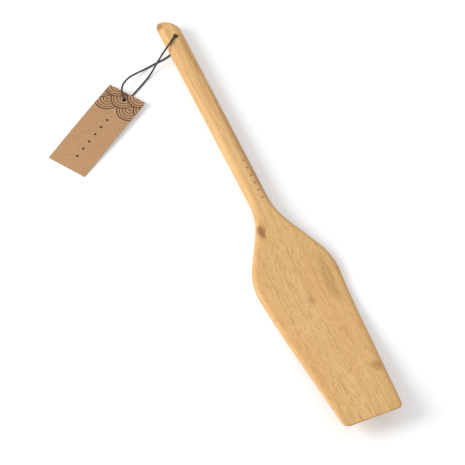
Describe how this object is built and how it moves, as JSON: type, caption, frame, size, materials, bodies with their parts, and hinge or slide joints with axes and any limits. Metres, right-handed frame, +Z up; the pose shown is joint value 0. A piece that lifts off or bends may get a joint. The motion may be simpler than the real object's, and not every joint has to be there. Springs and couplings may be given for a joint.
{
  "type": "bamboo spatula",
  "caption": "Flat turning spatula of edge-glued bamboo with a tapered, gently curved blade, a slim handle with a hanging hole, and a card tag on a thin cord.",
  "frame": {"origin": "on the table, under the middle of the spatula's own box without its cord and tag", "axes": "+Z up from the table, +Y from the middle towards the handle's end, +X to the right of the handle seen from above"},
  "size_m": [0.1349, 0.3321, 0.0145],
  "materials": {
    "bamboo_pale": "sanded and oiled bamboo, satin",
    "bamboo_honey": "sanded and oiled bamboo, satin",
    "bamboo_warm": "sanded and oiled bamboo, satin",
    "cord": "black waxed cotton cord, matt",
    "kraft_card": "uncoated brown kraft card, matt"
  },
  "bodies": {
    "spatula": {"strip_left_edge": "bamboo_warm", "strip_left": "bamboo_pale", "strip_core_left": "bamboo_pale", "strip_core_right": "bamboo_honey", "strip_right": "bamboo_honey", "strip_right_edge": "bamboo_warm"},
    "cord": {"hang_cord": "cord", "cord_knot": "cord"},
    "tag": {"hang_tag": "kraft_card"}
  },
  "joints": [
    {"name": "cord_swing", "type": "hinge", "parent": "spatula", "child": "cord", "pos_m": [0.0012, 0.15, 0], "axis": [0, 0, 1], "range_deg": [-85, 15]},
    {"name": "tag_swing", "type": "hinge", "parent": "cord", "child": "tag", "pos_m": [-0.0475, 0.119, 0.0029], "axis": [-0.0382, -0.0257, 0.9989], "range_deg": [-45, 45]}
  ]
}
